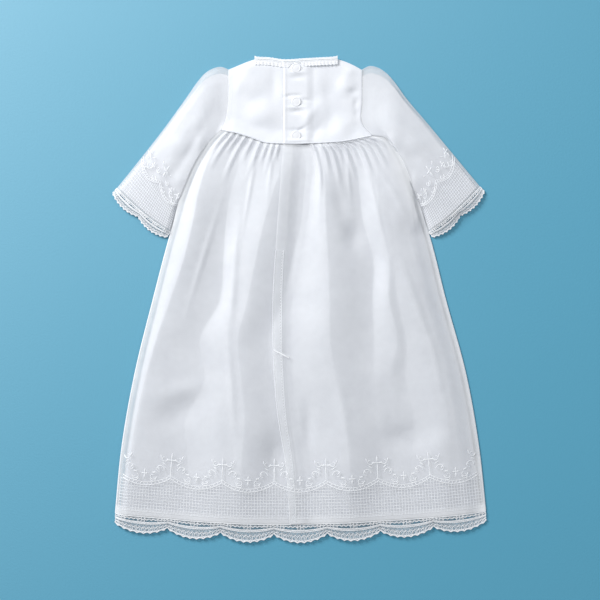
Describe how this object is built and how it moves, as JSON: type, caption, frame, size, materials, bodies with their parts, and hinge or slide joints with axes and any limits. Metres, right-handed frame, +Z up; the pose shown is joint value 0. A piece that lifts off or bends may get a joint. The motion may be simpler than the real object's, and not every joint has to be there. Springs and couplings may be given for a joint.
{
  "type": "christening gown",
  "caption": "White infant christening gown laid face down, with a buttoned satin yoke, sheer bell sleeves and a gathered skirt with a scalloped lace hem.",
  "frame": {"origin": "below the middle of the gown's outline, on the surface that it lies on", "axes": "+Y towards the neck, +X the wearer's right side, +Z up from the surface through the gown's back"},
  "size_m": [0.5034, 0.6568, 0.0175],
  "materials": {
    "satin": "soft satin",
    "organza": "sheer, faintly shining",
    "lace": "matte thread on net",
    "button": "pearl"
  },
  "bodies": {
    "root": {"skirt_front": "organza", "skirt_back_left": "organza", "skirt_back_right": "organza", "skirt_lining": "satin", "yoke_front": "satin", "yoke_back_left": "satin", "yoke_back_right": "satin", "sleeve_left": "organza", "sleeve_right": "organza", "sleeve_lining_left": "satin", "sleeve_lining_right": "satin", "hem_lace_front": "lace", "hem_lace_back_left": "lace", "hem_lace_back_right": "lace", "cuff_lace_front_left": "lace", "cuff_lace_back_left": "lace", "cuff_lace_front_right": "lace", "cuff_lace_back_right": "lace", "neck_frill": "lace", "button_1": "button", "button_2": "button", "button_3": "button"}
  },
  "joints": []
}
